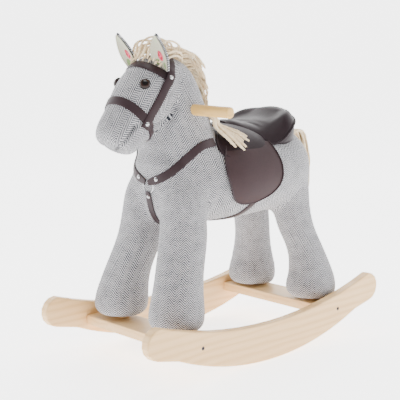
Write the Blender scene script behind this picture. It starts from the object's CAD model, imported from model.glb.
"""Toddler's soft rocking horse: tweed skin, leatherette tack, yarn hair and pine rockers.

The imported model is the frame. Everything is in metres; the horse faces -Y, its left side is +X.
"""
import math
import random

import bmesh
import bpy
from mathutils import Matrix, Vector
from mathutils.bvhtree import BVHTree
from mathutils.kdtree import KDTree


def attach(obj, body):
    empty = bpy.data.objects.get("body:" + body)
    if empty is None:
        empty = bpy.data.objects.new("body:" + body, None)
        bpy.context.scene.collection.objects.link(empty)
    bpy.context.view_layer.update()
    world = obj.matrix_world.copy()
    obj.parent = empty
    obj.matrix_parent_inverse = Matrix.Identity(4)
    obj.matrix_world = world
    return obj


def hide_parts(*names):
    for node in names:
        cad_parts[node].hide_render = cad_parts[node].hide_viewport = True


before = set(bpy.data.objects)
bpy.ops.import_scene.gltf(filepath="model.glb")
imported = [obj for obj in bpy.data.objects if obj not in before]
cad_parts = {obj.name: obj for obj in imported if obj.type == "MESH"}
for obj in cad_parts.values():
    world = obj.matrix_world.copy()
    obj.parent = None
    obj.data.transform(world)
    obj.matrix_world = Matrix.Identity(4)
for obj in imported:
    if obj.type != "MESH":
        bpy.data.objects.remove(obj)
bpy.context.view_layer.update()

SIDES = (("left", 1), ("right", -1))


# ---- camera -------------------------------------------------------------------------------
CAMERA_PLACE = Vector((1.397, -1.393, 0.6134))
CAMERA_AZIMUTH = math.radians(46.07)
CAMERA_DROP = math.radians(9.606)
CAMERA_LENS = 94.3


def place_camera():
    lens = bpy.data.cameras.new("camera")
    lens.lens = CAMERA_LENS
    lens.sensor_width = 36.0
    lens.clip_start = 0.05
    lens.clip_end = 30.0
    camera = bpy.data.objects.new("camera", lens)
    bpy.context.scene.collection.objects.link(camera)
    flat = math.cos(CAMERA_DROP)
    looking = Vector((-math.sin(CAMERA_AZIMUTH) * flat, math.cos(CAMERA_AZIMUTH) * flat,
                      -math.sin(CAMERA_DROP)))
    camera.location = CAMERA_PLACE
    camera.rotation_mode = "QUATERNION"
    camera.rotation_quaternion = looking.to_track_quat("-Z", "Y")
    bpy.context.scene.camera = camera


place_camera()


# ---- node helpers -------------------------------------------------------------------------
class Finish:
    """A material under construction, with short ways to add and join its nodes."""

    def __init__(self, name, roughness=0.5, metallic=0.0):
        self.material = bpy.data.materials.new(name)
        self.material.use_nodes = True
        self.tree = self.material.node_tree
        self.shader = self.tree.nodes["Principled BSDF"]
        self.shader.inputs["Roughness"].default_value = roughness
        self.shader.inputs["Metallic"].default_value = metallic

    def node(self, kind, **settings):
        made = self.tree.nodes.new("ShaderNode" + kind)
        for key, value in settings.items():
            setattr(made, key, value)
        return made

    def join(self, source, target):
        self.tree.links.new(source, target)

    def place(self, turn=(0, 0, 0), scale=(1, 1, 1)):
        """Object coordinates, turned and stretched."""
        where = self.node("TexCoord")
        mapping = self.node("Mapping")
        mapping.inputs["Rotation"].default_value = turn
        mapping.inputs["Scale"].default_value = scale
        self.join(where.outputs["Object"], mapping.inputs["Vector"])
        return mapping.outputs["Vector"]

    def surface_map(self, name):
        return self.node("UVMap", uv_map=name).outputs["UV"]

    def noise(self, vector, scale, detail=3.0, roughness=0.5):
        made = self.node("TexNoise")
        made.inputs["Scale"].default_value = scale
        made.inputs["Detail"].default_value = detail
        made.inputs["Roughness"].default_value = roughness
        self.join(vector, made.inputs["Vector"])
        return made.outputs["Fac"]

    def math(self, operation, first, second=None, third=None):
        made = self.node("Math", operation=operation)
        for socket, value in zip(made.inputs, (first, second, third)):
            if value is None:
                continue
            if isinstance(value, (int, float)):
                socket.default_value = value
            else:
                self.join(value, socket)
        return made.outputs[0]

    def ramp(self, value, stops):
        """Colours along a value: stops are (place, colour)."""
        made = self.node("ValToRGB")
        elements = made.color_ramp.elements
        while len(elements) < len(stops):
            elements.new(0.5)
        for element, (where, colour) in zip(elements, stops):
            element.position = where
            element.color = (*colour, 1.0)
        self.join(value, made.inputs["Fac"])
        return made.outputs["Color"]

    def mix(self, share, first, second, blend="MIX"):
        made = self.node("Mix", data_type="RGBA", blend_type=blend)
        pairs = ((made.inputs[0], share), (made.inputs[6], first), (made.inputs[7], second))
        for socket, value in pairs:
            if isinstance(value, tuple):
                socket.default_value = (*value, 1.0)
            elif isinstance(value, (int, float)):
                socket.default_value = value
            else:
                self.join(value, socket)
        return made.outputs[2]

    def bump(self, height, distance, strength=1.0, under=None):
        made = self.node("Bump")
        made.inputs["Strength"].default_value = strength
        made.inputs["Distance"].default_value = distance
        self.join(height, made.inputs["Height"])
        if under:
            self.join(under, made.inputs["Normal"])
        return made.outputs["Normal"]

    def spread(self, value, low, high):
        """A value's 0 to 1 mapped to low to high."""
        made = self.node("MapRange")
        made.inputs["To Min"].default_value = low
        made.inputs["To Max"].default_value = high
        self.join(value, made.inputs["Value"])
        return made.outputs["Result"]

    def done(self, colour, roughness=None, normal=None):
        self.join(colour, self.shader.inputs["Base Color"])
        if roughness is not None:
            self.join(roughness, self.shader.inputs["Roughness"])
        if normal is not None:
            self.join(normal, self.shader.inputs["Normal"])
        return self.material


# ---- finishes -----------------------------------------------------------------------------
COLUMN_WIDTH = 0.0095        # of the herringbone
TWILL_PITCH = 0.0040


def herringbone_tweed():
    """Grey wool twill whose ribs change direction at each column."""
    f = Finish("herringbone_tweed", 0.95)
    cloth = f.surface_map("weave")
    split = f.node("SeparateXYZ")
    f.join(cloth, split.inputs[0])
    wobble = f.noise(cloth, 220.0, 2.0)
    across = split.outputs["X"]
    along = f.math("ADD", split.outputs["Y"], f.spread(wobble, -0.0006, 0.0006))
    zigzag = f.math("PINGPONG", across, COLUMN_WIDTH)
    phase = f.math("ADD", along, zigzag)
    rib = f.math("SINE", f.math("MULTIPLY", phase, 2 * math.pi / TWILL_PITCH))
    rib = f.math("MULTIPLY_ADD", rib, 0.5, 0.5)
    fleck = f.noise(cloth, 620.0, 2.0, 0.75)
    patch = f.noise(cloth, 60.0, 3.0)
    level = f.math("ADD", f.math("MULTIPLY", rib, 0.46), f.math("MULTIPLY", fleck, 0.86))
    level = f.math("ADD", level, f.math("MULTIPLY", patch, 0.18))
    colour = f.ramp(level, [(0.52, (0.008, 0.010, 0.014)), (0.69, (0.070, 0.072, 0.086)),
                            (0.80, (0.260, 0.257, 0.270)), (0.93, (0.58, 0.57, 0.58))])
    normal = f.bump(level, 0.0007, 0.6)
    f.shader.inputs["Sheen Weight"].default_value = 0.22
    f.shader.inputs["Sheen Roughness"].default_value = 0.45
    f.shader.inputs["Specular IOR Level"].default_value = 0.15
    return f.done(colour, normal=normal)


def leatherette(name, dark, light, grain=900.0, roughness=(0.36, 0.52), shine=0.18):
    """Brown coated cloth with a fine pebbled grain and slightly scuffed lighter patches."""
    f = Finish(name)
    where = f.place()
    cells = f.node("TexVoronoi", feature="SMOOTH_F1")
    cells.inputs["Scale"].default_value = grain
    f.join(where, cells.inputs["Vector"])
    scuff = f.noise(where, 26.0, 6.0, 0.6)
    fine = f.noise(where, 380.0, 3.0)
    colour = f.mix(f.spread(scuff, 0.0, 1.0), dark, light)
    pits = f.ramp(cells.outputs["Distance"], [(0.0, (1, 1, 1)), (0.75, (0.72, 0.70, 0.70))])
    colour = f.mix(0.6, colour, pits, "MULTIPLY")
    rough = f.spread(f.math("ADD", f.math("MULTIPLY", scuff, 0.6), f.math("MULTIPLY", fine, 0.4)),
                     roughness[0], roughness[1])
    normal = f.bump(cells.outputs["Distance"], 0.0002, 0.35)
    normal = f.bump(scuff, 0.0012, 0.25, normal)
    f.shader.inputs["Specular IOR Level"].default_value = shine
    return f.done(colour, rough, normal)


def pine(name, turn=(0, 0, 0), pale=(0.82, 0.54, 0.26), warm=(0.66, 0.38, 0.14)):
    """Clear-finished pine: long soft grain along the board with fine darker fibres."""
    f = Finish(name)
    where = f.place(turn, (7.0, 1.1, 7.0))
    bend = f.noise(where, 2.2, 3.0)
    rings = f.node("TexWave", wave_type="BANDS", bands_direction="Z")
    rings.inputs["Scale"].default_value = 3.2
    rings.inputs["Distortion"].default_value = 5.5
    rings.inputs["Detail"].default_value = 3.0
    rings.inputs["Detail Scale"].default_value = 1.2
    f.join(where, rings.inputs["Vector"])
    fibre = f.noise(f.place(turn, (240.0, 5.0, 240.0)), 3.0, 3.0, 0.6)
    grain = f.math("ADD", f.math("MULTIPLY", rings.outputs["Fac"], 0.55),
                   f.math("MULTIPLY", bend, 0.45))
    colour = f.ramp(grain, [(0.15, pale), (0.62, tuple((p * 2 + w) / 3 for p, w in zip(pale, warm))),
                            (1.0, warm)])
    fibre_tint = f.ramp(fibre, [(0.35, (0.86, 0.80, 0.70)), (0.62, (1, 1, 1))])
    colour = f.mix(0.45, colour, fibre_tint, "MULTIPLY")
    normal = f.bump(fibre, 0.0002, 0.25)
    f.shader.inputs["Coat Weight"].default_value = 0.15
    f.shader.inputs["Coat Roughness"].default_value = 0.35
    return f.done(colour, f.spread(fibre, 0.42, 0.56), normal)


def wool_yarn():
    """Cream wool: uneven tint, darker between the fibres, fuzzy."""
    f = Finish("cream_wool", 0.95)
    where = f.place()
    tuft = f.noise(where, 60.0, 4.0, 0.6)
    fuzz = f.noise(where, 1400.0, 3.0, 0.7)
    level = f.math("ADD", f.math("MULTIPLY", tuft, 0.6), f.math("MULTIPLY", fuzz, 0.4))
    colour = f.ramp(level, [(0.30, (0.34, 0.22, 0.11)), (0.45, (0.74, 0.56, 0.33)),
                            (0.62, (0.90, 0.76, 0.53))])
    normal = f.bump(fuzz, 0.0006, 0.7)
    f.shader.inputs["Sheen Weight"].default_value = 0.4
    f.shader.inputs["Sheen Roughness"].default_value = 0.5
    return f.done(colour, normal=normal)


def printed_cotton():
    """Cream lining cotton with one pink rose and green leaves, laid out on the ear's own map."""
    f = Finish("printed_cotton", 0.9)
    cloth = f.surface_map("print")
    wander = f.node("TexNoise")
    wander.inputs["Scale"].default_value = 3.2
    wander.inputs["Detail"].default_value = 2.0
    f.join(cloth, wander.inputs["Vector"])
    moved = f.mix(0.10, cloth, wander.outputs["Color"])
    thread = f.noise(cloth, 40.0, 2.0)

    def blot(middle, radius):
        gap = f.node("VectorMath", operation="DISTANCE")
        gap.inputs[1].default_value = (*middle, 0.0)
        f.join(moved, gap.inputs[0])
        return f.spread(f.math("GREATER_THAN", radius, gap.outputs["Value"]), 0.0, 1.0)

    petals = f.node("TexVoronoi")
    petals.inputs["Scale"].default_value = 11.0
    f.join(cloth, petals.inputs["Vector"])
    rose = f.ramp(petals.outputs["Distance"], [(0.05, (0.46, 0.020, 0.060)), (0.35, (0.28, 0.004, 0.020)),
                                               (0.62, (0.62, 0.08, 0.13))])
    ground = f.ramp(thread, [(0.35, (0.30, 0.29, 0.21)), (0.65, (0.47, 0.45, 0.35))])
    colour = f.mix(blot((0.34, 0.16), 0.12), ground, (0.16, 0.22, 0.09))
    colour = f.mix(blot((0.70, 0.14), 0.10), colour, (0.18, 0.25, 0.11))
    colour = f.mix(blot((0.50, 0.80), 0.09), colour, (0.36, 0.40, 0.27))
    colour = f.mix(blot((0.54, 0.37), 0.155), colour, rose)
    return f.done(colour, normal=f.bump(thread, 0.0003, 0.5))


def bright_steel():
    f = Finish("nickelled_steel", 0.2, 1.0)
    where = f.place()
    wear = f.noise(where, 420.0, 4.0, 0.6)
    colour = f.ramp(wear, [(0.3, (0.34, 0.34, 0.35)), (0.7, (0.56, 0.56, 0.57))])
    return f.done(colour, f.spread(wear, 0.10, 0.30), f.bump(wear, 0.0001, 0.2))


def dark_steel():
    f = Finish("blacked_steel", 0.45, 1.0)
    wear = f.noise(f.place(), 500.0, 4.0, 0.6)
    colour = f.ramp(wear, [(0.35, (0.045, 0.045, 0.05)), (0.7, (0.13, 0.12, 0.12))])
    return f.done(colour, f.spread(wear, 0.35, 0.6))


def glass_eye():
    """Brown iris and black pupil under a clear dome, laid out on the eye's own map."""
    f = Finish("brown_eye", 0.06)
    flat = f.surface_map("eye")
    middle = f.node("VectorMath", operation="DISTANCE")
    middle.inputs[1].default_value = (0.5, 0.5, 0.0)
    f.join(flat, middle.inputs[0])
    out = f.math("MULTIPLY", middle.outputs["Value"], 2.0)
    fibres = f.noise(flat, 24.0, 3.0)
    iris = f.ramp(fibres, [(0.3, (0.008, 0.003, 0.002)), (0.7, (0.026, 0.009, 0.005))])
    colour = f.mix(f.math("GREATER_THAN", out, 0.52), (0.004, 0.003, 0.003), iris)
    colour = f.mix(f.math("GREATER_THAN", out, 0.86), colour, (0.012, 0.008, 0.007))
    f.shader.inputs["Coat Weight"].default_value = 0.15
    f.shader.inputs["Coat Roughness"].default_value = 0.03
    f.shader.inputs["Specular IOR Level"].default_value = 0.15
    return f.done(colour)


def moulded_plastic():
    f = Finish("white_plastic", 0.4)
    speck = f.noise(f.place(), 300.0, 3.0)
    colour = f.ramp(speck, [(0.3, (0.74, 0.74, 0.72)), (0.7, (0.83, 0.83, 0.81))])
    return f.done(colour, f.spread(speck, 0.35, 0.5))


TWEED = herringbone_tweed()
SADDLE = leatherette("saddle_leatherette", (0.013, 0.0075, 0.0095), (0.022, 0.013, 0.016), shine=0.10)
STRAP = leatherette("strap_leatherette", (0.022, 0.0125, 0.015), (0.036, 0.021, 0.024))
FLAP = leatherette("flap_leatherette", (0.030, 0.016, 0.018), (0.042, 0.023, 0.025),
                   roughness=(0.50, 0.62), shine=0.15)
BOARD = pine("pine_board")
CROSS_BOARD = pine("pine_cross_board", (0, 0, math.pi / 2))
DOWEL = pine("pine_dowel", (0, 0, math.pi / 2), (0.70, 0.43, 0.12), (0.54, 0.30, 0.07))
YARN = wool_yarn()
PRINT = printed_cotton()
STEEL = bright_steel()
BLACKED = dark_steel()
EYE = glass_eye()
PLASTIC = moulded_plastic()


# ---- mesh helpers -------------------------------------------------------------------------
def keep(name, bm, material, smooth=True):
    mesh = bpy.data.meshes.new(name)
    bm.to_mesh(mesh)
    bm.free()
    piece = bpy.data.objects.new(name, mesh)
    bpy.context.scene.collection.objects.link(piece)
    mesh.materials.append(material)
    if smooth:
        mesh.shade_smooth()
    return piece


def flatten_modifiers(piece):
    """Replace a piece's mesh by what its modifiers make of it."""
    graph = bpy.context.evaluated_depsgraph_get()
    made = bpy.data.meshes.new_from_object(piece.evaluated_get(graph))
    piece.modifiers.clear()
    old = piece.data
    piece.data = made
    bpy.data.meshes.remove(old)


def catmull(rows, steps):
    """Smooth rows of numbers: a Catmull-Rom curve through them, steps per span."""
    smooth = []
    last = len(rows) - 1
    for i in range(last):
        before, start = rows[max(0, i - 1)], rows[i]
        end, after = rows[i + 1], rows[min(last, i + 2)]
        for k in range(steps):
            t = k / steps
            smooth.append([
                0.5 * (2 * b + (c - a) * t + (2 * a - 5 * b + 4 * c - d) * t * t
                       + (3 * b - a - 3 * c + d) * t ** 3)
                for a, b, c, d in zip(before, start, end, after)])
    smooth.append(list(rows[last]))
    return smooth


def loft(rings, sides=40):
    """Rows (x, y, z, tilt, half width, half depth) joined into one closed skin."""
    bm = bmesh.new()
    last_edges = None
    for index, (x, y, z, tilt, half_x, half_n) in enumerate(rings):
        place = Matrix.Translation((x, y, z)) @ Matrix.Rotation(tilt + math.pi / 2, 4, "X")
        place = place @ Matrix.Diagonal((max(half_x, 0.001), max(half_n, 0.001), 1.0, 1.0))
        ring = bmesh.ops.create_circle(bm, segments=sides, radius=1.0, matrix=place)
        edges = list({e for v in ring["verts"] for e in v.link_edges})
        if last_edges:
            bmesh.ops.bridge_loops(bm, edges=last_edges + edges)
        if index in (0, len(rings) - 1):
            bmesh.ops.edgeloop_fill(bm, edges=edges)
        last_edges = edges
    bmesh.ops.recalc_face_normals(bm, faces=bm.faces)
    return bm


def tree_of(bm):
    bm.verts.ensure_lookup_table()
    return BVHTree.FromBMesh(bm)


# ---- stuffed skin -------------------------------------------------------------------------
BODY_MIDDLE = Vector((0, 0.0145, 0.333))
BODY_HALF_LENGTH = 0.1845
POLL = Vector((0, -0.121, 0.548))
HEAD_TILT = math.radians(50.0)
HEAD_LENGTH = 0.202
ALONG = Vector((0, -math.cos(HEAD_TILT), -math.sin(HEAD_TILT)))
ACROSS = Vector((0, -math.sin(HEAD_TILT), math.cos(HEAD_TILT)))
SLACK = 0.0006               # how much the skin starts inside its stuffed size
SOLE = 0.0696                # height of the crossbars' tops
VOXEL = 0.0052


def barrel_rings():
    shape = ((-1.0, 0.26, 0.38), (-0.96, 0.48, 0.71), (-0.85, 0.67, 0.91), (-0.64, 0.86, 1.0),
             (-0.32, 0.98, 1.0), (0.05, 1.0, 0.97), (0.37, 0.98, 0.94), (0.66, 0.90, 0.91),
             (0.86, 0.72, 0.82), (0.96, 0.50, 0.61), (1.0, 0.26, 0.32))
    rows = [(0, BODY_MIDDLE.y + BODY_HALF_LENGTH * t, BODY_MIDDLE.z, 0.0, 0.114 * w - SLACK,
             0.090 * h - SLACK) for t, w, h in shape]
    return catmull(rows, 3)


def neck_rings():
    shape = ((0.0, 75, 1.17, 1.08), (0.22, 80, 1.0, 0.94), (0.41, 86, 0.86, 0.83),
             (0.61, 93, 0.75, 0.77), (0.81, 101, 0.62, 0.68), (0.93, 108, 0.44, 0.48),
             (1.0, 112, 0.16, 0.18))
    rows = []
    for t, tilt, w, d in shape:
        rows.append((0, -0.088 - 0.052 * t, 0.345 + 0.203 * t, math.radians(tilt),
                     0.084 * w - SLACK, 0.076 * d - SLACK))
    return catmull(rows, 3)


def head_rings():
    shape = ((0.0, 0.000, 0.35, 0.37), (0.095, -0.002, 0.74, 0.76), (0.235, 0.000, 0.94, 0.97),
             (0.44, 0.004, 1.0, 1.0), (0.59, 0.007, 0.93, 0.90), (0.72, 0.008, 0.85, 0.81),
             (0.86, 0.007, 0.84, 0.79), (0.96, 0.008, 0.70, 0.66), (1.0, 0.009, 0.42, 0.42))
    rows = []
    for t, rise, w, d in shape:
        spot = POLL + ALONG * HEAD_LENGTH * t + ACROSS * rise
        rows.append((0, spot.y, spot.z, HEAD_TILT, 0.057 * w - SLACK, 0.056 * d - SLACK))
    return catmull(rows, 3)


def leg_rings(side, front):
    """Rows down a leg: (x, y, z, radius)."""
    if front:
        shape = ((0.047, -0.128, 0.340, 0.032), (0.053, -0.131, 0.308, 0.0415),
                 (0.0545, -0.136, 0.270, 0.0435), (0.0570, -0.138, 0.241, 0.0450),
                 (0.0605, -0.145, 0.211, 0.0455),
                 (0.0665, -0.1565, 0.180, 0.0455), (0.0725, -0.1665, 0.150, 0.0465),
                 (0.0765, -0.1735, 0.120, 0.0500), (0.0775, -0.177, 0.096, 0.053),
                 (0.0775, -0.177, 0.080, 0.051), (0.0775, -0.177, 0.0725, 0.043),
                 (0.0775, -0.177, SOLE + 0.001, 0.030))
    else:
        shape = ((0.048, 0.142, 0.340, 0.030), (0.054, 0.145, 0.308, 0.0375), (0.055, 0.147, 0.270, 0.0388),
                 (0.057, 0.152, 0.241, 0.038), (0.061, 0.160, 0.211, 0.038),
                 (0.0695, 0.1715, 0.180, 0.038), (0.0765, 0.179, 0.150, 0.0405),
                 (0.080, 0.183, 0.120, 0.047), (0.081, 0.184, 0.096, 0.050),
                 (0.081, 0.184, 0.080, 0.048), (0.081, 0.184, 0.0725, 0.040),
                 (0.081, 0.184, SOLE + 0.001, 0.028))
    rows = [(side * x, y, z, math.pi / 2, radius - SLACK, radius - SLACK)
            for x, y, z, radius in shape]
    return catmull(rows, 3)


def head_spot(share, angle, tree, side=1):
    """A point of a skin, by its share along the head and its angle from the forehead."""
    turn = math.radians(angle)
    out = ACROSS * math.cos(turn) + Vector((side, 0, 0)) * math.sin(turn)
    return ray_in(tree, POLL + ALONG * HEAD_LENGTH * share, out)


def ray_in(tree, target, outward, reach=0.25):
    """The outermost surface point towards a target, and its outward normal."""
    outward = Vector(outward).normalized()
    target = Vector(target)
    point, normal, _, _ = tree.ray_cast(target + outward * reach, -outward)
    if point is None:
        return target + outward * 0.045, outward
    if normal.dot(outward) < 0:
        normal = -normal
    return point, normal


def dense(points, gap=0.002):
    """Points no further apart than a gap along straight runs between the given ones."""
    filled = []
    for start, end in zip(points, points[1:]):
        count = max(1, int((end - start).length / gap))
        filled.extend(start.lerp(end, i / count) for i in range(count))
    filled.append(points[-1])
    return filled


def press_line(bm, line, depth, width):
    """Push the skin inwards along a sewn or folded line."""
    finder = KDTree(len(line))
    for i, spot in enumerate(line):
        finder.insert(spot, i)
    finder.balance()
    bm.normal_update()
    moves = []
    for vert in bm.verts:
        _, _, far = finder.find(vert.co)
        if far < width * 2.5:
            moves.append((vert, vert.normal * depth * math.exp(-(far / width) ** 2)))
    for vert, move in moves:
        vert.co -= move


def make_skin():
    """Body, neck, head and legs as one stuffed skin, swelled by cloth pressure."""
    lofts = {"body": loft(barrel_rings(), 48), "neck": loft(neck_rings()), "head": loft(head_rings())}
    for side_name, side in SIDES:
        lofts["front_" + side_name] = loft(leg_rings(side, True), 32)
        lofts["rear_" + side_name] = loft(leg_rings(side, False), 32)
    trees = {name: tree_of(bm) for name, bm in lofts.items()}
    whole = bmesh.new()
    for bm in lofts.values():
        mesh = bpy.data.meshes.new("part")
        bm.to_mesh(mesh)
        bm.free()
        whole.from_mesh(mesh)
        bpy.data.meshes.remove(mesh)
    skin = keep("stuffed_skin", whole, TWEED)
    remesh = skin.modifiers.new("remesh", "REMESH")
    remesh.mode = "VOXEL"
    remesh.voxel_size = VOXEL
    flatten_modifiers(skin)

    bm = bmesh.new()
    bm.from_mesh(skin.data)
    easy = [v for v in bm.verts if not near_head(v.co)]
    for _ in range(13):
        bmesh.ops.smooth_vert(bm, verts=easy, factor=0.5, use_axis_x=True, use_axis_y=True,
                              use_axis_z=True)
    for _ in range(2):
        bmesh.ops.smooth_vert(bm, verts=bm.verts, factor=0.5, use_axis_x=True, use_axis_y=True,
                              use_axis_z=True)
    bm.to_mesh(skin.data)
    bm.free()
    swell(skin, 4.0, 0.004, 14)
    return skin, trees


def near_head(spot):
    """The head and the fold of its jaw against the neck, which are smoothed less."""
    share = (spot - POLL).dot(ALONG) / HEAD_LENGTH
    return share > 0.25 and spot.y < -0.135 and spot.z > 0.36


def swell(piece, pressure, cap, frames, pinned=None):
    """Blow a closed skin up by cloth pressure, no point moving further than the cap."""
    rest = [v.co.copy() for v in piece.data.vertices]
    if pinned is not None:
        group = piece.vertex_groups.new(name="sewn")
        group.add(pinned, 1.0, "REPLACE")
    cloth = piece.modifiers.new("cloth", "CLOTH")
    settings = cloth.settings
    settings.quality = 4
    settings.mass = 0.25
    settings.tension_stiffness = 18.0
    settings.compression_stiffness = 18.0
    settings.shear_stiffness = 8.0
    settings.bending_stiffness = 0.8
    settings.use_pressure = True
    settings.uniform_pressure_force = pressure
    settings.effector_weights.gravity = 0.0
    if pinned is not None:
        settings.vertex_group_mass = "sewn"
    cloth.point_cache.frame_start = 1
    cloth.point_cache.frame_end = frames
    scene = bpy.context.scene
    for step in range(1, frames + 1):
        scene.frame_set(step)
    flatten_modifiers(piece)
    scene.frame_set(1)
    if pinned is not None:
        piece.vertex_groups.clear()
    for vert, start in zip(piece.data.vertices, rest):
        move = vert.co - start
        if move.length > cap:
            vert.co = start + move * (cap / move.length)


def finish_skin(skin, trees):
    """Sewn lines, the mouth, the finer surface and the map that the weave follows."""
    bm = bmesh.new()
    bm.from_mesh(skin.data)
    surface = BVHTree.FromBMesh(bm)
    mouths = []
    for _, side in SIDES:
        stations = [(0.785, 62.0), (0.84, 61.5), (0.89, 61.0), (0.935, 61.0), (0.975, 60.0)]
        line = [head_spot(share, angle, surface, side)[0] for share, angle in stations]
        line.append(ray_in(surface, POLL + ALONG * HEAD_LENGTH * 0.93 + ACROSS * 0.004,
                           Vector((side * 0.35, 0, 0)) + ALONG * 0.9)[0])
        mouths.append(dense(line))
    near = set()
    for line in mouths:
        for vert in bm.verts:
            if min((vert.co - p).length_squared for p in line[::3]) < 0.009 ** 2:
                near.add(vert)
    edges = [e for e in bm.edges if e.verts[0] in near and e.verts[1] in near]
    bmesh.ops.subdivide_edges(bm, edges=edges, cuts=2, use_grid_fill=True, smooth=0.0)
    bmesh.ops.triangulate(bm, faces=[f for f in bm.faces if len(f.verts) > 4])
    for line in mouths:
        press_line(bm, line, 0.0105, 0.0042)
    tuck_chin(bm)
    for _, side in SIDES:
        fold = [Vector((side * x, y, z)) for x, y, z in JAW_FOLD]
        press_line(bm, dense([surface.find_nearest(spot)[0] for spot in fold]), 0.0090, 0.0080)
    for _, side in SIDES:
        for front in (True, False):
            press_line(bm, foot_seam(surface, side, front), 0.0012, 0.0022)
    flat_soles(bm)
    bm.to_mesh(skin.data)
    bm.free()
    smoother = skin.modifiers.new("smoother", "SUBSURF")
    smoother.levels = 1
    smoother.render_levels = 1
    flatten_modifiers(skin)
    skin.data.shade_smooth()
    return map_weave(skin, trees)


JAW_FOLD = ((0.050, -0.154, 0.4735), (0.047, -0.158, 0.460), (0.040, -0.164, 0.449),
            (0.039, -0.177, 0.439), (0.043, -0.192, 0.435))
CHIN_TUCK = 0.0060


def tuck_chin(bm):
    """Set the lower lip back from the upper one."""
    for vert in bm.verts:
        rel = vert.co - POLL
        share = rel.dot(ALONG) / HEAD_LENGTH
        angle = math.degrees(math.atan2(abs(rel.x), rel.dot(ACROSS)))
        if share > 0.76 and angle > 60.0:
            amount = min(1.0, (share - 0.76) / 0.10) * min(1.0, (angle - 60.0) / 14.0)
            axis_spot = POLL + ALONG * HEAD_LENGTH * min(share, 0.93)
            vert.co += (axis_spot - vert.co).normalized() * CHIN_TUCK * amount


def flat_soles(bm):
    for vert in bm.verts:
        if vert.co.z < SOLE + 0.0012:
            vert.co.z = SOLE + 0.0006


def foot_seam(surface, side, front):
    middle = Vector((side * 0.0745, -0.173, 0.140)) if front else Vector((side * 0.078, 0.181, 0.128))
    line = []
    for i in range(90):
        turn = 2 * math.pi * i / 90
        out = Vector((math.cos(turn), math.sin(turn), 0.0))
        point, _, _, _ = surface.ray_cast(middle, out)
        if point is not None and (point - middle).length < 0.07:
            line.append(point)
    return line


def leg_axis(z, front):
    """Middle of a leg at a height, for its left side."""
    rows = leg_rings(1, front)
    for (x, y, high, *_), (next_x, next_y, low, *_) in zip(rows, rows[1:]):
        if low <= z <= high:
            t = (high - z) / (high - low)
            return x + (next_x - x) * t, y + (next_y - y) * t
    return (rows[0][0], rows[0][1]) if z > rows[0][2] else (rows[-1][0], rows[-1][1])


def weave_place(region, spot):
    """Place on the cloth, in metres across and along its columns."""
    if region == "head":
        rel = spot - POLL
        turn = math.atan2(abs(rel.x), rel.dot(ACROSS))
        return turn * 0.050 + 1.0, rel.dot(ALONG)
    if region.startswith(("front", "rear")):
        side = 1 if spot.x > 0 else -1
        x, y = leg_axis(spot.z, region.startswith("front"))
        turn = math.atan2(-(spot.y - y), (spot.x * side - x))
        return turn * 0.045 + 2.0, spot.z
    lift = max(0.0, spot.z - 0.36)
    middle_y = -0.090 - 0.27 * lift
    radius = 0.085 - 0.20 * lift
    side_x = max(abs(spot.x), 1e-5)
    if region == "neck" or spot.y < middle_y:
        return math.atan2(-(spot.y - middle_y), side_x) * radius, spot.z
    if spot.y <= 0.100:
        u = -(spot.y - middle_y)
    else:
        u = -(0.100 - middle_y) - 0.085 * math.atan2(spot.y - 0.100, side_x)
    return u, spot.z


def map_weave(skin, trees):
    mesh = skin.data
    layer = mesh.uv_layers.new(name="weave")
    regions = []
    for polygon in mesh.polygons:
        middle = polygon.center
        best, region = 1.0, "body"
        for name, tree in trees.items():
            _, _, _, far = tree.find_nearest(middle, 0.05)
            if far is not None and far < best:
                best, region = far, name
        regions.append(region)
    for polygon, region in zip(mesh.polygons, regions):
        places = [weave_place(region, mesh.vertices[i].co) for i in polygon.vertices]
        flat_top = abs(polygon.normal.z) > 0.85 and region == "body"
        for loop, vertex, (u, v) in zip(polygon.loop_indices, polygon.vertices, places):
            if flat_top:
                spot = mesh.vertices[vertex].co
                u, v = -spot.y, spot.x + 3.0
            layer.data[loop].uv = (u, v)
    return regions


SKIN, PART_TREES = make_skin()
REGIONS = finish_skin(SKIN, PART_TREES)
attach(SKIN, "root")
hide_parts("body", "head", "leg_front_left", "leg_front_right", "leg_rear_left",
            "leg_rear_right")


def skin_tree(only=None):
    """The finished skin as something to rest on; or only the faces nearest one of its parts."""
    bm = bmesh.new()
    bm.from_mesh(SKIN.data)
    if only:
        bm.faces.ensure_lookup_table()
        others = [f for f, region in zip(bm.faces, REGIONS) if region != only]
        bmesh.ops.delete(bm, geom=others, context="FACES")
    tree = BVHTree.FromBMesh(bm)
    bm.free()
    return tree


CLOTH = skin_tree()
HEAD_CLOTH = skin_tree("head")


# ---- straps -------------------------------------------------------------------------------
STRAP_WIDTH = 0.0160
STRAP_THICKNESS = 0.0019
STRAP_REST = 0.0002          # height of a strap's back above the cloth


def strap_section(width, thickness):
    """A flat strap's cross-section (across, up), with softly rounded edges."""
    half = width / 2
    edge = min(thickness * 0.5, 0.001)
    return [(-half + edge, 0.0), (-half * 0.5, 0.0), (0.0, 0.0), (half * 0.5, 0.0),
            (half - edge, 0.0), (half, edge), (half - edge * 0.4, thickness - edge * 0.35),
            (half - edge * 1.6, thickness), (half * 0.45, thickness * 1.06), (0.0, thickness * 1.1),
            (-half * 0.45, thickness * 1.06), (-half + edge * 1.6, thickness),
            (-half + edge * 0.4, thickness - edge * 0.35), (-half, edge)]


def bridge_rings(bm, rings, closed):
    """Join rings of vertices that hold their edges, and fill the ends of an open run."""
    loops = []
    for ring in rings:
        loops.append([bm.edges.new(pair) for pair in zip(ring, ring[1:] + ring[:1])])
    for before, after in zip(loops, loops[1:]):
        bmesh.ops.bridge_loops(bm, edges=before + after)
    if closed:
        bmesh.ops.bridge_loops(bm, edges=loops[-1] + loops[0])
    else:
        for end in (loops[0], loops[-1]):
            bmesh.ops.edgeloop_fill(bm, edges=end)
    bmesh.ops.recalc_face_normals(bm, faces=bm.faces)


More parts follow.
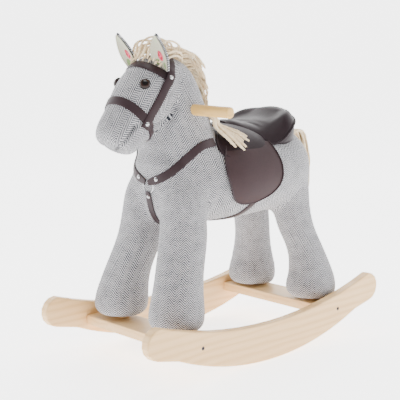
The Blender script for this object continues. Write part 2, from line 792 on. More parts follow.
def even_path(path, count, closed=False):
    """A path of (point, normal) resampled smoothly to so many stations."""
    rows = [(*point, *normal) for point, normal in path]
    if closed:
        rows = rows + rows[:1]
    rows = catmull(rows, 6)
    lengths = [0.0]
    for a, b in zip(rows, rows[1:]):
        lengths.append(lengths[-1] + (Vector(b[:3]) - Vector(a[:3])).length)
    total = lengths[-1]
    stations = []
    steps = count if closed else count - 1
    i = 0
    for k in range(count):
        want = total * k / steps
        while i < len(lengths) - 2 and lengths[i + 1] < want:
            i += 1
        span = max(lengths[i + 1] - lengths[i], 1e-9)
        t = (want - lengths[i]) / span
        row = [a + (b - a) * t for a, b in zip(rows[i], rows[i + 1])]
        stations.append((Vector(row[:3]), Vector(row[3:]).normalized()))
    return stations, total


def make_strap(name, path, nodes, width=STRAP_WIDTH, thickness=STRAP_THICKNESS, lift=None,
               closed=False, spacing=0.0035, cloth=None):
    """A leatherette strap along the cloth; width and lift may change along it."""
    cloth = cloth or CLOTH
    width = width if callable(width) else (lambda share, value=width: value)
    lift = lift or (lambda share: 0.0)
    _, total = even_path(path, 12, closed)
    count = max(8, int(total / spacing))
    stations, _ = even_path(path, count, closed)
    bm = bmesh.new()
    rings = []
    for i, (point, normal) in enumerate(stations):
        ahead = stations[(i + 1) % count][0] if closed or i < count - 1 else point
        behind = stations[i - 1][0] if closed or i > 0 else point
        along = (ahead - behind).normalized()
        across = normal.cross(along).normalized()
        up = along.cross(across).normalized()
        if up.dot(normal) < 0:
            up = -up
        share = i / (count if closed else count - 1)
        ring = []
        for side, height in strap_section(width(share), thickness):
            spot = point + across * side
            found, _, _, far = cloth.ray_cast(spot + up * 0.012, -up)
            if found is None or far > 0.020:
                found = spot
            ring.append(bm.verts.new(found + up * (height + STRAP_REST + lift(share))))
        rings.append(ring)
    bridge_rings(bm, rings, closed)
    bmesh.ops.smooth_vert(bm, verts=bm.verts, factor=0.25, use_axis_x=True, use_axis_y=True,
                          use_axis_z=True)
    piece = keep(name, bm, STRAP)
    piece.data.set_sharp_from_angle(angle=math.radians(50.0))
    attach(piece, "root")
    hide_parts(*nodes)
    return piece


def layered(first, last, hold, ramp):
    """A lift of whole strap thicknesses at the two ends of a strap, by share of its length."""
    def lift(share):
        near_first = min(1.0, max(0.0, (hold + ramp - share) / ramp))
        near_last = min(1.0, max(0.0, (share - 1.0 + hold + ramp) / ramp))
        layers = max(first * near_first, last * near_last)
        return layers * (STRAP_THICKNESS + 0.0003)
    return lift


def lathe(profile, steps=24):
    """A profile of (radius, height) turned about Z."""
    bm = bmesh.new()
    points = [bm.verts.new((radius, 0.0, height)) for radius, height in profile]
    edges = [bm.edges.new(pair) for pair in zip(points, points[1:])]
    bmesh.ops.spin(bm, geom=points + edges, cent=(0, 0, 0), axis=(0, 0, 1), angle=2 * math.pi,
                   steps=steps, use_merge=True)
    bmesh.ops.remove_doubles(bm, verts=bm.verts, dist=1e-6)
    bmesh.ops.recalc_face_normals(bm, faces=bm.faces)
    return bm


def stand_on(bm, base, axis):
    turn = Vector((0, 0, 1)).rotation_difference(Vector(axis)).to_matrix().to_4x4()
    bmesh.ops.transform(bm, matrix=Matrix.Translation(base) @ turn, verts=bm.verts)


def make_rivet(name, spot, layers, node):
    """A domed rivet with a thin rim, standing on so many straps."""
    point, normal = spot
    base = point + normal * (STRAP_REST + layers * (STRAP_THICKNESS + 0.0003) + STRAP_THICKNESS)
    profile = [(0, -0.0008), (0.0036, -0.0008), (0.0040, 0.0000), (0.0040, 0.0004),
               (0.0036, 0.0007), (0.0031, 0.0007), (0.0029, 0.0010), (0.0024, 0.0019),
               (0.0015, 0.0025), (0, 0.0027)]
    bm = lathe(profile)
    stand_on(bm, base, normal)
    piece = keep(name, bm, STEEL)
    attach(piece, "root")
    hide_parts(node)


BROW_SHARE = 0.268
NOSE_SHARE = 0.705
UPPER_RIVET = (BROW_SHARE, 70.5)
LOWER_RIVET = (NOSE_SHARE + 0.012, 79.0)


def make_bridle():
    top = (ACROSS - ALONG * 0.18).normalized()
    nose = []
    for i in range(32):
        turn = 2 * math.pi * i / 32
        out = top * math.cos(turn) + Vector((1, 0, 0)) * math.sin(turn)
        nose.append(ray_in(HEAD_CLOTH, POLL + ALONG * HEAD_LENGTH * NOSE_SHARE, out, 0.07))
    make_strap("strap_noseband", nose, ["noseband"], closed=True, cloth=HEAD_CLOTH)
    brow = [head_spot(BROW_SHARE, abs(angle), CLOTH, 1 if angle >= 0 else -1)
            for angle in range(-76, 77, 8)]
    make_strap("strap_browband", brow, ["browband"])
    crown = []
    stations = [(BROW_SHARE + 0.050, 74.0), (BROW_SHARE, 71.0), (0.185, 66.5), (0.11, 60.0),
                (0.055, 44.0), (0.035, 22.0), (0.03, 0.0)]
    for share, angle in stations:
        crown.append(head_spot(share, angle, CLOTH, 1))
    for share, angle in stations[-2::-1]:
        crown.append(head_spot(share, angle, CLOTH, -1))
    make_strap("strap_crownpiece", crown, ["crownpiece"], width=lambda s: 0.0150,
               lift=layered(1, 1, 0.14, 0.06))
    for side_name, side in SIDES:
        cheek = []
        for i in range(9):
            t = -0.10 + 1.20 * i / 8
            share = UPPER_RIVET[0] + (LOWER_RIVET[0] - UPPER_RIVET[0]) * t
            angle = UPPER_RIVET[1] + (LOWER_RIVET[1] - UPPER_RIVET[1]) * t
            cheek.append(head_spot(share, angle, CLOTH, side))
        make_strap("strap_cheek_" + side_name, cheek, ["cheekpiece_" + side_name],
                   lift=layered(2, 1, 0.15, 0.10))
        make_rivet("rivet_upper_" + side_name, head_spot(*UPPER_RIVET, CLOTH, side), 2,
                   "cheek_rivet_upper_" + side_name)
        make_rivet("rivet_lower_" + side_name, head_spot(*LOWER_RIVET, CLOTH, side), 1,
                   "cheek_rivet_lower_" + side_name)


RING_MIDDLE_Y = -0.1752
RING_MIDDLE_Z = 0.326
RING_PLACE = Vector((0, RING_MIDDLE_Y, RING_MIDDLE_Z))


def make_breast_collar():
    centre = Vector((0, -0.090, RING_MIDDLE_Z))
    for side_name, side in SIDES:
        path = []
        for angle, height in ((2.5, 0.0065), (20.0, 0.016), (34.0, 0.029), (50.0, 0.050),
                              (70.0, 0.072), (95.0, 0.077)):
            turn = math.radians(angle)
            path.append(ray_in(CLOTH, centre + Vector((0, 0, height)),
                               (side * math.sin(turn), -math.cos(turn), 0)))
        make_strap("strap_breast_" + side_name, path, ["breast_strap_" + side_name],
                   width=lambda s: 0.0155 * min(1.0, 0.66 + 3.0 * s),
                   lift=lambda s: 0.0022 * max(0.0, 1.0 - s / 0.08))
        turn = math.radians(15.0)
        spot = ray_in(CLOTH, centre + Vector((0, 0, 0.0140)), (side * math.sin(turn),
                                                               -math.cos(turn), 0))
        make_rivet("rivet_breast_" + side_name, spot, 0, "breast_rivet_" + side_name)
    path = [ray_in(CLOTH, (0, -0.075, RING_MIDDLE_Z - 0.0095), (0, -1, 0)),
            ray_in(CLOTH, (0, -0.075, 0.305), (0, -1, -0.25)),
            ray_in(CLOTH, (0, -0.072, 0.302), (0, -1, -0.65)),
            ray_in(CLOTH, (0, -0.070, 0.300), (0, -1, -1.1)),
            ray_in(CLOTH, (0, -0.060, 0.300), (0, -0.5, -1.1)),
            ray_in(CLOTH, (0, -0.044, 0.300), (0, 0, -1))]
    make_strap("strap_breast_lower", path, ["breast_strap_lower"],
               width=lambda s: 0.0155 * min(1.0, 0.66 + 4.0 * s),
               lift=lambda s: 0.0022 * max(0.0, 1.0 - s / 0.08))
    spot = ray_in(CLOTH, (0, -0.075, 0.3085), (0, -1, -0.02))
    make_rivet("rivet_breast_lower", spot, 0, "breast_rivet_lower")
    bm = bmesh.new()
    wire = bmesh.ops.create_circle(bm, segments=12, radius=0.0012,
                                   matrix=Matrix.Translation((0.0133, 0, 0))
                                   @ Matrix.Rotation(math.pi / 2, 4, "X"))
    edges = list({e for v in wire["verts"] for e in v.link_edges})
    bmesh.ops.spin(bm, geom=wire["verts"] + edges, cent=(0, 0, 0), axis=(0, 0, 1),
                   angle=2 * math.pi, steps=48, use_merge=True)
    bmesh.ops.remove_doubles(bm, verts=bm.verts, dist=1e-6)
    bmesh.ops.recalc_face_normals(bm, faces=bm.faces)
    stand_on(bm, RING_PLACE, (0, -1, 0))
    ring = keep("ring_on_chest", bm, STEEL)
    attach(ring, "ring")
    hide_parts("chest_ring")


def make_girth():
    path = []
    stations = ((20.0, 0.0), (0.0, 0.04), (-20.0, 0.15), (-40.0, 0.42), (-60.0, 0.80),
                (-75.0, 0.96), (-90.0, 1.0))
    marks = list(stations) + [(-180.0 - angle, mix) for angle, mix in stations[-2::-1]]
    for angle, mix in marks:
        turn = math.radians(angle)
        target = Vector((0, 0.004 - 0.038 * mix, BODY_MIDDLE.z))
        path.append(ray_in(CLOTH, target, (math.cos(turn), 0, math.sin(turn))))
    make_strap("strap_girth", path, ["girth"])


make_bridle()
make_breast_collar()
make_girth()


# ---- saddle -------------------------------------------------------------------------------
def interpolate(table, value):
    """Smooth value from rows (key, number...) by key."""
    if value <= table[0][0]:
        return table[0][1:]
    for i, after in enumerate(table[1:]):
        if value <= after[0]:
            before = table[i]
            first = table[max(0, i - 1)]
            last = table[min(len(table) - 1, i + 2)]
            span = after[0] - before[0]
            t = (value - before[0]) / span
            made = []
            for f, a, b, c in zip(first[1:], before[1:], after[1:], last[1:]):
                rise = (b - f) / (after[0] - first[0]) * span
                fall = (c - a) / (last[0] - before[0]) * span
                made.append(a * (1 + 2 * t) * (1 - t) ** 2 + rise * t * (1 - t) ** 2
                            + b * t * t * (3 - 2 * t) + fall * t * t * (t - 1))
            return tuple(made)
    return table[-1][1:]


SEAT_ROWS = (                # y, half width, middle height, edge height, rim
    (0.004, 0.026, 0.4300, 0.4220, 0.000),
    (0.020, 0.052, 0.4330, 0.4110, 0.000),
    (0.040, 0.076, 0.4300, 0.3950, 0.000),
    (0.060, 0.087, 0.4280, 0.3890, 0.002),
    (0.085, 0.089, 0.4280, 0.3930, 0.010),
    (0.108, 0.086, 0.4310, 0.4050, 0.017),
    (0.128, 0.078, 0.4390, 0.4160, 0.015),
    (0.145, 0.065, 0.4480, 0.4250, 0.008),
    (0.158, 0.047, 0.4500, 0.4320, 0.003),
    (0.167, 0.028, 0.4460, 0.4370, 0.000))


def seat_top(x_share, y):
    half, middle, edge, rim = interpolate(SEAT_ROWS, y)
    a = abs(x_share)
    height = middle + (edge - middle) * a ** 2.4 + rim * math.exp(-((a - 0.76) / 0.22) ** 2)
    return Vector((x_share * half, y, height))


def make_seat():
    """Dished seat with a raised rim round the back, filled and swelled like a cushion."""
    bm = bmesh.new()
    bmesh.ops.create_grid(bm, x_segments=28, y_segments=34, size=1.0)
    low_y, high_y = SEAT_ROWS[0][0], SEAT_ROWS[-1][0]
    for vert in bm.verts:
        share = math.sin(vert.co.x * math.pi / 2) * 0.5 + vert.co.x * 0.5
        y = low_y + (high_y - low_y) * (vert.co.y + 1) / 2
        vert.co = seat_top(share, y)
    grown = bmesh.ops.extrude_face_region(bm, geom=bm.faces[:], use_keep_orig=True)
    under = [v for v in grown["geom"] if isinstance(v, bmesh.types.BMVert)]
    for vert in under:
        spot, _ = ray_in(CLOTH, (vert.co.x * 0.97, vert.co.y, 0.34), (0, 0, 1))
        vert.co = Vector((vert.co.x * 0.97, vert.co.y, min(spot.z + 0.001, vert.co.z - 0.004)))
    bmesh.ops.recalc_face_normals(bm, faces=bm.faces)
    seat = keep("padded_seat", bm, SADDLE)
    seam = [v.index for v in seat.data.vertices if v.index in seat_border(seat)]
    swell(seat, 5.0, 0.003, 14, seam)
    smoother = seat.modifiers.new("smoother", "SUBSURF")
    smoother.levels = 1
    smoother.render_levels = 1
    flatten_modifiers(seat)
    seat.data.shade_smooth()
    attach(seat, "root")
    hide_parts("saddle_seat")
    make_piping(seat_outline(), "seat_piping", 0.0019)


def seat_border(seat):
    """Corners on the seat's edge, where top and side panels are sewn together."""
    found = set()
    bm = bmesh.new()
    bm.from_mesh(seat.data)
    bm.normal_update()
    for edge in bm.edges:
        if len(edge.link_faces) == 2 and edge.calc_face_angle() > math.radians(55.0):
            found.update(v.index for v in edge.verts)
    bm.free()
    return found


def seat_outline():
    line = []
    steps = 60
    low_y, high_y = SEAT_ROWS[0][0], SEAT_ROWS[-1][0]
    for i in range(steps + 1):
        line.append(seat_top(1.0, low_y + (high_y - low_y) * i / steps))
    for i in range(1, 8):
        line.append(seat_top(1.0 - 2.0 * i / 8, high_y))
    for i in range(steps, -1, -1):
        line.append(seat_top(-1.0, low_y + (high_y - low_y) * i / steps))
    for i in range(1, 8):
        line.append(seat_top(-1.0 + 2.0 * i / 8, low_y))
    return line


def make_piping(line, name, radius, closed=True, body="root", material=None):
    curve = bpy.data.curves.new(name, "CURVE")
    curve.dimensions = "3D"
    curve.bevel_depth = radius
    curve.bevel_resolution = 3
    curve.use_fill_caps = not closed
    spline = curve.splines.new("POLY")
    spline.points.add(len(line) - 1)
    for point, spot in zip(spline.points, line):
        point.co = (*spot, 1.0)
    spline.use_cyclic_u = closed
    piece = bpy.data.objects.new(name, curve)
    bpy.context.scene.collection.objects.link(piece)
    curve.materials.append(material or SADDLE)
    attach(piece, body)
    return piece


def panel(bm, rows, thickness, rest):
    """A closed padded panel over the cloth from rows of (point, outward)."""
    backs, fronts = [], []
    last = len(rows) - 1
    for j, row in enumerate(rows):
        back, front = [], []
        width = len(row) - 1
        for i, (point, outward) in enumerate(row):
            edge = min(1.0, 2.6 * min(i, width - i) / width, 2.6 * min(j, last - j) / last)
            puff = 0.35 + 0.65 * math.sin(edge * math.pi / 2)
            back.append(bm.verts.new(point + outward * rest))
            front.append(bm.verts.new(point + outward * (rest + thickness * puff)))
        backs.append(back)
        fronts.append(front)
    for sheet, turned in ((backs, True), (fronts, False)):
        for near, far in zip(sheet, sheet[1:]):
            for i in range(len(near) - 1):
                corners = (near[i], near[i + 1], far[i + 1], far[i])
                bm.faces.new(corners[::-1] if turned else corners)
    rim_edges = [e for e in bm.edges if e.is_boundary]
    bmesh.ops.bridge_loops(bm, edges=rim_edges)
    bmesh.ops.recalc_face_normals(bm, faces=bm.faces)


SKIRT_FRONT = ((0.0, -0.024), (15.0, -0.030), (30.0, -0.052), (42.0, -0.073), (52.0, -0.079),
               (60.0, -0.075), (66.0, -0.064), (69.4, -0.046))
SKIRT_REAR = ((0.0, 0.046), (50.0, 0.048), (58.0, 0.040), (64.0, 0.010), (67.5, -0.016),
              (69.4, -0.038))


def make_skirt():
    """The padded arch in front of the seat, its ends rounded low on both sides."""
    bm = bmesh.new()
    rows = []
    for i in range(61):
        angle = -69.4 + 138.8 * i / 60
        front = interpolate(SKIRT_FRONT, abs(angle))[0]
        rear = interpolate(SKIRT_REAR, abs(angle))[0]
        turn = math.radians(angle)
        outward = Vector((math.sin(turn), 0, math.cos(turn)))
        row = []
        for j in range(13):
            y = front + (rear - front) * j / 12
            row.append((ray_in(CLOTH, (0, y, BODY_MIDDLE.z), outward)[0], outward))
        rows.append(row)
    panel(bm, rows, 0.0060, 0.0006)
    bmesh.ops.smooth_vert(bm, verts=bm.verts, factor=0.4, use_axis_x=True, use_axis_y=True,
                          use_axis_z=True)
    skirt = keep("pommel_skirt", bm, SADDLE)
    smoother = skirt.modifiers.new("smoother", "SUBSURF")
    smoother.levels = 1
    smoother.render_levels = 1
    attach(skirt, "root")
    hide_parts("saddle_skirt")
    rim = []
    for i in range(61):
        angle = -69.4 + 138.8 * i / 60
        front = interpolate(SKIRT_FRONT, abs(angle))[0]
        turn = math.radians(angle)
        outward = Vector((math.sin(turn), 0, math.cos(turn)))
        rim.append(ray_in(CLOTH, (0, front, BODY_MIDDLE.z), outward)[0] + outward * 0.0022)
    make_piping(rim, "skirt_piping", 0.0022, closed=False)


FLAP_ROWS = 31
FLAP_COLUMNS = 25
FLAP_THICKNESS = 0.0030
FLAP_REST = 0.0036           # a flap's back above the cloth
FLAP_BINDING_REST = 0.0052
FLAP_BINDING_RADIUS = 0.0013
FLAP_EDGES = (               # height, front y, rear y, from the hinge line down
    (0.396, -0.062, 0.052), (0.376, -0.076, 0.054), (0.362, -0.080, 0.056),
    (0.346, -0.080, 0.0565), (0.330, -0.076, 0.0545), (0.316, -0.071, 0.048),
    (0.304, -0.0645, 0.036), (0.296, -0.056, 0.021), (0.290, -0.043, 0.003),
    (0.2875, -0.030, -0.008))


def flap_edges():
    """The flap's edges from the hinge line down, closer together near the round bottom."""
    table = [(-z, front, rear) for z, front, rear in FLAP_EDGES]
    edges = []
    for j in range(FLAP_ROWS):
        share = j / (FLAP_ROWS - 1)
        z = -(table[0][0] + (table[-1][0] - table[0][0]) * math.sin(share * math.pi / 2))
        front, rear = interpolate(table, -z)
        edges.append((z, front, rear))
    return edges


def make_flap(side_name, side):
    """A hanging saddle flap, with a bound edge down one side and up the other."""
    outward = Vector((side, 0, 0.0))
    edges = flap_edges()
    bm = bmesh.new()
    rows = []
    for z, front, rear in edges:
        row = []
        for i in range(FLAP_COLUMNS):
            y = front + (rear - front) * i / (FLAP_COLUMNS - 1)
            row.append((ray_in(CLOTH, (0, y, z), outward)[0], outward))
        rows.append(row)
    panel(bm, rows, FLAP_THICKNESS, FLAP_REST)
    bmesh.ops.smooth_vert(bm, verts=bm.verts, factor=0.5, use_axis_x=True, use_axis_y=False,
                          use_axis_z=False)
    flap = keep("flap_panel_" + side_name, bm, FLAP)
    smoother = flap.modifiers.new("smoother", "SUBSURF")
    smoother.levels = 1
    smoother.render_levels = 1
    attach(flap, "flap_" + side_name)
    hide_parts("saddle_flap_" + side_name)
    outline = [(z, front) for z, front, _ in edges] + [(z, rear) for z, _, rear in edges[::-1]]
    line = [ray_in(CLOTH, (0, y, z), outward)[0] + outward * FLAP_BINDING_REST
            for z, y in outline]
    make_piping(line, "flap_binding_" + side_name, FLAP_BINDING_RADIUS, closed=False,
                body="flap_" + side_name, material=STRAP)


make_seat()
make_skirt()
for flap_side, flap_sign in SIDES:
    make_flap(flap_side, flap_sign)


# ---- ears and eyes ------------------------------------------------------------------------
EAR_LENGTH = 0.0655
EAR_HALF_WIDTH = 0.0198
EAR_OUTLINE = ((-0.14, 0.62), (0.0, 0.78), (0.15, 0.92), (0.30, 1.0), (0.45, 0.96), (0.60, 0.82),
               (0.75, 0.60), (0.88, 0.34), (0.96, 0.15), (1.0, 0.03))


def ear_frame(side):
    axis = Vector((side * 0.21, -0.46, 0.86)).normalized()
    facing = Vector((side * 0.14, -0.98, 0.0))
    facing = (facing - axis * facing.dot(axis)).normalized()
    return axis, facing, axis.cross(facing)


def ear_leaf(side, scale, offset, start, stop):
    """One cupped leaf as a grid with its own map; offset is towards the open side."""
    base = head_spot(0.212, 48.0, CLOTH, side)[0]
    axis, facing, across = ear_frame(side)
    bm = bmesh.new()
    layer = bm.loops.layers.uv.new("print")
    bmesh.ops.create_grid(bm, x_segments=16, y_segments=24, size=1.0)
    maps = {}
    for vert in bm.verts:
        u = vert.co.x
        share = start + (stop - start) * (vert.co.y + 1) / 2
        spread = interpolate(EAR_OUTLINE, share)[0] * scale
        maps[vert] = (0.5 + 0.5 * u * spread, share)
        spot = base + axis * EAR_LENGTH * share + across * EAR_HALF_WIDTH * spread * u
        cup = 0.0060 * spread * (1.0 - u * u) * (1.0 - 0.3 * share)
        curl = 0.004 * max(0.0, share) ** 2
        vert.co = spot - facing * (cup + curl) + facing * offset
    for face in bm.faces:
        for loop in face.loops:
            loop[layer].uv = maps[loop.vert]
    return bm


def make_ears():
    for side_name, side in SIDES:
        shell = keep("ear_shell_" + side_name, ear_leaf(side, 1.0, 0.0, -0.12, 1.0), TWEED)
        shell.data.uv_layers[0].name = "weave"
        for item in shell.data.uv_layers[0].data:
            item.uv = (item.uv[0] * EAR_HALF_WIDTH * 2, item.uv[1] * EAR_LENGTH)
        lining = keep("ear_print_" + side_name, ear_leaf(side, 0.90, 0.0034, -0.06, 0.965), PRINT)
        for piece, thick, node, slot in ((shell, 0.0034, "ear_", "grey_tweed"),
                                         (lining, 0.0012, "ear_lining_", "printed_cotton")):
            wall = piece.modifiers.new("wall", "SOLIDIFY")
            wall.thickness = thick
            wall.offset = 0.0
            smoother = piece.modifiers.new("smoother", "SUBSURF")
            smoother.levels = 1
            smoother.render_levels = 1
            flatten_modifiers(piece)
            bm = bmesh.new()
            bm.from_mesh(piece.data)
            bmesh.ops.recalc_face_normals(bm, faces=bm.faces)
            bm.to_mesh(piece.data)
            bm.free()
            piece.data.shade_smooth()
            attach(piece, "root")
            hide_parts(node + side_name)


def make_eyes():
    for side_name, side in SIDES:
        point, normal = head_spot(0.437, 38.5, CLOTH, side)
        radius = 0.0096
        profile = [(0, -0.003), (radius * 0.8, -0.003), (radius, -0.0006), (radius, 0.0006),
                   (radius * 0.96, 0.0016), (radius * 0.86, 0.0030), (radius * 0.70, 0.0044),
                   (radius * 0.5, 0.0055), (radius * 0.26, 0.0062), (0, 0.0064)]
        bm = lathe(profile, 40)
        layer = bm.loops.layers.uv.new("eye")
        for face in bm.faces:
            for loop in face.loops:
                spot = loop.vert.co
                loop[layer].uv = (0.5 + 0.5 * spot.x / radius, 0.5 + 0.5 * spot.y / radius)
        stand_on(bm, point, normal)
        eye = keep("eye_dome_" + side_name, bm, EYE)
        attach(eye, "root")
        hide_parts("eye_" + side_name)


make_ears()
make_eyes()


# ---- yarn hair ----------------------------------------------------------------------------
def yarn_curve(name, strands, nodes, body="root"):
    """Strands, each a list of (point, radius), as one bundle of soft tubes."""
    curve = bpy.data.curves.new(name, "CURVE")
    curve.dimensions = "3D"
    curve.bevel_depth = 1.0
    curve.bevel_resolution = 1
    curve.resolution_u = 3
    curve.use_fill_caps = True
    for strand in strands:
        spline = curve.splines.new("NURBS")
        spline.points.add(len(strand) - 1)
        for point, (spot, radius) in zip(spline.points, strand):
            point.co = (*spot, 1.0)
            point.radius = radius
        spline.order_u = 4
        spline.use_endpoint_u = True
    piece = bpy.data.objects.new(name, curve)
    bpy.context.scene.collection.objects.link(piece)
    curve.materials.append(YARN)
    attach(piece, body)
    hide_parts(*nodes)
    return piece


def twisted(path, radius, plies=3, pitch=0.011, start=0.0):
    """Plies wound round a path, as separate strands."""
    path = [Vector(row) for row in catmull([tuple(p) for p in path], 5)]
    strands = []
    travelled = [0.0]
    for a, b in zip(path, path[1:]):
        travelled.append(travelled[-1] + (b - a).length)
    total = travelled[-1]
    for ply in range(plies):
        strand = []
        for i, spot in enumerate(path):
            ahead = path[min(i + 1, len(path) - 1)]
            behind = path[max(i - 1, 0)]
            along = (ahead - behind).normalized()
            side = along.orthogonal().normalized()
            if side.z < 0:
                side = -side
            other = along.cross(side)
            turn = start + 2 * math.pi * (travelled[i] / pitch + ply / plies)
            fade = min(1.0, 0.45 + 6.0 * min(travelled[i], total - travelled[i]) / max(total, 1e-6))
            out = (side * math.cos(turn) + other * math.sin(turn)) * radius * 0.55 * fade
            strand.append((spot + out, radius * 0.62 * fade))
        strands.append(strand)
    return strands


MANE_STATIONS = 34
FORELOCK_ROWS = ((9, 0.024, 0.010), (8, 0.021, 0.019), (6, 0.014, 0.028))  # count, reach, rise
TAIL_ROOT = (0, 0.206, 0.3744)
TAIL_ROPES = 30
TAIL_LENGTH = 0.178
LOCK_ENDS = (                # y, z and reach of each rope of the lock on the left
    (-0.047, 0.384, 0.86), (-0.037, 0.382, 1.0), (-0.029, 0.389, 1.0), (-0.022, 0.395, 0.86),
    (-0.014, 0.400, 1.0), (-0.006, 0.406, 0.90), (-0.040, 0.392, 0.75))


def make_mane(rng):
    """Short ropes along the crest, longer and higher towards the poll."""
    crest = []
    for share, rise in ((1.02, 1.35), (0.97, 1.15), (0.90, 0.85), (0.80, 0.50), (0.68, 0.32),
                        (0.56, 0.22), (0.47, 0.18)):
        y = -0.088 - 0.052 * share
        z = 0.345 + 0.203 * share
        crest.append(ray_in(CLOTH, (0, y, z), (0, 1, rise), 0.10))
    stations, _ = even_path(crest, MANE_STATIONS)
    strands = []
    for i, (point, normal) in enumerate(stations):
        share = i / (len(stations) - 1)
        crown = max(0.0, 1.0 - share / 0.45)
        along = (stations[min(i + 1, MANE_STATIONS - 1)][0] - stations[max(i - 1, 0)][0]).normalized()
        for _ in range(3 + (crown > 0.2)):
            lean = rng.uniform(-1.0, 1.0)
            length = 0.034 + 0.012 * crown + rng.uniform(-0.005, 0.007)
            rise = 0.008 + 0.013 * crown + rng.uniform(-0.002, 0.003)
            root = point + Vector((lean * 0.010, 0, 0)) - normal * 0.002
            path = [root]
            for far, high, out in ((0.30, 0.9, 0.4), (0.70, 1.0, 0.8), (1.05, 0.7, 1.0),
                                   (1.30, 0.25, 1.1)):
                sway = Vector([rng.uniform(-0.002, 0.002) for _ in range(3)])
                path.append(root + normal * rise * high + along * length * far + sway
                            + Vector((lean * 0.007 * out + 0.010 * out, 0, 0)))
            strands.extend(twisted(path, rng.uniform(0.0021, 0.0027), start=rng.uniform(0, 6.0),
                                   plies=2))
    yarn_curve("mane_yarn", strands, ["mane"])


def make_forelock(rng):
    """Three rows of yarn loops over the poll, each row higher and narrower."""
    strands = []
    for row, (count, wide, rise) in enumerate(FORELOCK_ROWS):
        for i in range(count):
            x = wide * (2 * i / (count - 1) - 1) + rng.uniform(-0.0015, 0.0015)
            path = []
            for share, height in ((0.0, 0.2), (0.02, 0.8), (0.07, 1.0), (0.13, 0.95),
                                  (0.195 - 0.012 * row, 0.7), (0.235 - 0.02 * row, 0.35)):
                point, normal = ray_in(CLOTH, POLL + ALONG * HEAD_LENGTH * share + Vector((x, 0, 0)),
                                       ACROSS + Vector((x * 12.0, 0, 0)), 0.08)
                path.append(point + normal * rise * height * rng.uniform(0.88, 1.12))
            strands.extend(twisted(path, 0.0026, start=rng.uniform(0, 6.0), plies=2))
    yarn_curve("forelock_yarn", strands, ["forelock"])


def make_mane_lock(rng):
    """Loose ropes from under the handle to the skirt, on the left."""
    strands = []
    for i, (low_y, low_z, short) in enumerate(LOCK_ENDS):
        t = i / (len(LOCK_ENDS) - 1)
        root, normal = ray_in(CLOTH, (0, -0.100 + 0.022 * t, 0.452 - 0.012 * t), (0.92, 0.36, 0.0))
        way, way_normal = ray_in(CLOTH, (0, -0.090 + 0.026 * t, 0.420), (0.96, 0.18 + 0.2 * t, 0.08))
        slope = (low_z - BODY_MIDDLE.z) / (0.100 - 0.5 * max(0.0, low_z - 0.395))
        reach, end_normal = ray_in(CLOTH, (0, low_y, BODY_MIDDLE.z), (1, 0, slope))
        end = way.lerp(reach, short)
        height = 0.009 + rng.uniform(0.0, 0.004)
        path = [root + normal * 0.003, root.lerp(way, 0.5) + normal * height,
                way + way_normal * height, way.lerp(end, 0.6) + end_normal * (height + 0.004),
                end + end_normal * (0.0125 + rng.uniform(0.0, 0.003))]
        strands.extend(twisted(path, rng.uniform(0.0037, 0.0043), start=rng.uniform(0, 6.0)))
    yarn_curve("mane_lock_yarn", strands, ["mane_lock"])


def make_tail(rng):
    """A hank of ropes that rises a little from its root and hangs down."""
    strands = []
    root = Vector(TAIL_ROOT)
    for _ in range(TAIL_ROPES):
        turn = rng.uniform(0, 2 * math.pi)
        out = rng.uniform(0.2, 1.0) ** 0.5
        spread = Vector((math.cos(turn), math.sin(turn) * 0.85, 0)) * out
        length = TAIL_LENGTH + rng.uniform(-0.012, 0.006)
        path = [root + spread * 0.003 + Vector((0, -0.006, 0.0)),
                root + spread * 0.008 + Vector((0, 0.010, 0.022)),
                root + spread * 0.012 + Vector((0, 0.028, 0.016)),
                root + spread * 0.016 + Vector((0, 0.038, -0.035)),
                root + spread * 0.016 + Vector((0, 0.036, -0.100)),
                root + spread * 0.012 + Vector((0, 0.030, -length))]
        strands.extend(twisted(path, 0.0026, start=rng.uniform(0, 6.0), plies=2))
    yarn_curve("tail_yarn", strands, ["tail"], body="tail")


yarn_draws = random.Random(7)
make_mane(yarn_draws)
make_forelock(yarn_draws)
make_mane_lock(yarn_draws)
make_tail(yarn_draws)


# ---- timber and fittings ------------------------------------------------------------------
def make_grip():
    """The turned dowel through the neck, with softened ends."""
    half = 0.150
    radius = 0.0100
    profile = [(0, -half), (radius - 0.0030, -half), (radius - 0.0012, -half + 0.0005),
               (radius - 0.0003, -half + 0.0014), (radius, -half + 0.0030)]
    profile = profile + [(r, -h) for r, h in profile[::-1]]
    bm = lathe(profile, 36)
    stand_on(bm, (0, -0.119, 0.462), (1, 0, 0))
    grip = keep("grip_dowel", bm, DOWEL)
    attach(grip, "root")
    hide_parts("handle")


make_grip()
NODE_FINISH = {"rocker": BOARD, "crossbar": CROSS_BOARD, "bolt": BLACKED, "post_screw": STEEL,
               "leg_post": BOARD, "shoulder_bolster": CROSS_BOARD, "hip_bolster": CROSS_BOARD,
               "spine_board": BOARD, "neck_board": BOARD, "eye_washer": PLASTIC}
for node_name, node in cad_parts.items():
    for start, material in NODE_FINISH.items():
        if node_name.startswith(start):
            node.data.materials.clear()
            node.data.materials.append(material)


# ---- studio -------------------------------------------------------------------------------
def soft_light(name, place, target, size, power):
    light = bpy.data.lights.new(name, "AREA")
    light.shape = "SQUARE"
    light.size = size
    light.energy = power
    lamp = bpy.data.objects.new(name, light)
    bpy.context.scene.collection.objects.link(lamp)
    lamp.location = place
    lamp.rotation_mode = "QUATERNION"
    lamp.rotation_quaternion = (Vector(target) - Vector(place)).to_track_quat("-Z", "Y")


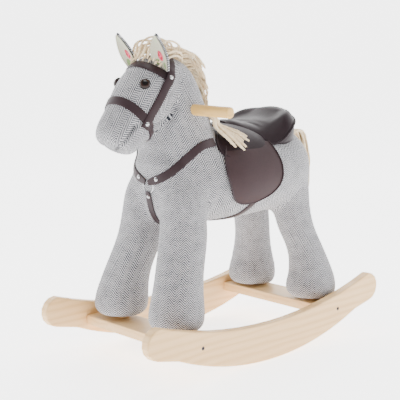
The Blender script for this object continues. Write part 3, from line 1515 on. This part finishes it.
SKY_LIGHT = 0.7
SWEEP_FRONT = -6.0           # the floor runs from here, seen from the horse along the view
SWEEP_FLAT = 2.2             # to here, where it bends up into a wall
SWEEP_RADIUS = 1.6
SWEEP_LENGTH = 8.0
SWEEP_HALF_WIDTH = 5.0


def make_studio():
    floor_finish = Finish("studio_floor", 0.9)
    speck = floor_finish.noise(floor_finish.place(), 3.0)
    shade = floor_finish.ramp(speck, [(0.3, (0.90, 0.90, 0.90)), (0.7, (0.92, 0.92, 0.92))])
    floor_finish.shader.inputs["Emission Color"].default_value = (1, 1, 1, 1)
    floor_finish.shader.inputs["Emission Strength"].default_value = 3.1
    bm = bmesh.new()
    bmesh.ops.create_grid(bm, x_segments=4, y_segments=48, size=1.0)
    for vert in bm.verts:
        run = SWEEP_FRONT + (SWEEP_LENGTH - SWEEP_FRONT) * (vert.co.y + 1) / 2
        across = vert.co.x * SWEEP_HALF_WIDTH
        bend = min(max(0.0, run - SWEEP_FLAT) / SWEEP_RADIUS, math.pi / 2)
        rest = max(0.0, run - SWEEP_FLAT - SWEEP_RADIUS * math.pi / 2)
        flat = min(run, SWEEP_FLAT) + SWEEP_RADIUS * math.sin(bend)
        rise = SWEEP_RADIUS * (1 - math.cos(bend)) + rest
        vert.co = Vector((across, flat, rise - 0.0005))
    bmesh.ops.transform(bm, matrix=Matrix.Rotation(CAMERA_AZIMUTH, 4, "Z"), verts=bm.verts)
    floor = keep("studio_floor", bm, floor_finish.done(shade))
    world = bpy.data.worlds.new("studio")
    world.use_nodes = True
    background = world.node_tree.nodes["Background"]
    background.inputs["Color"].default_value = (1.0, 1.0, 1.0, 1.0)
    background.inputs["Strength"].default_value = SKY_LIGHT
    bpy.context.scene.world = world
    middle = (0, 0, 0.28)
    right = Vector((math.cos(CAMERA_AZIMUTH), math.sin(CAMERA_AZIMUTH), 0))
    soft_light("left_box", Vector((0, 0, 0.7)) - right * 1.6, middle, 1.2, 22.0)
    soft_light("right_box", Vector((0, 0, 0.8)) + right * 1.6, middle, 1.2, 20.0)
    soft_light("top_box", (0.1, -0.1, 1.9), middle, 1.0, 20.0)


make_studio()
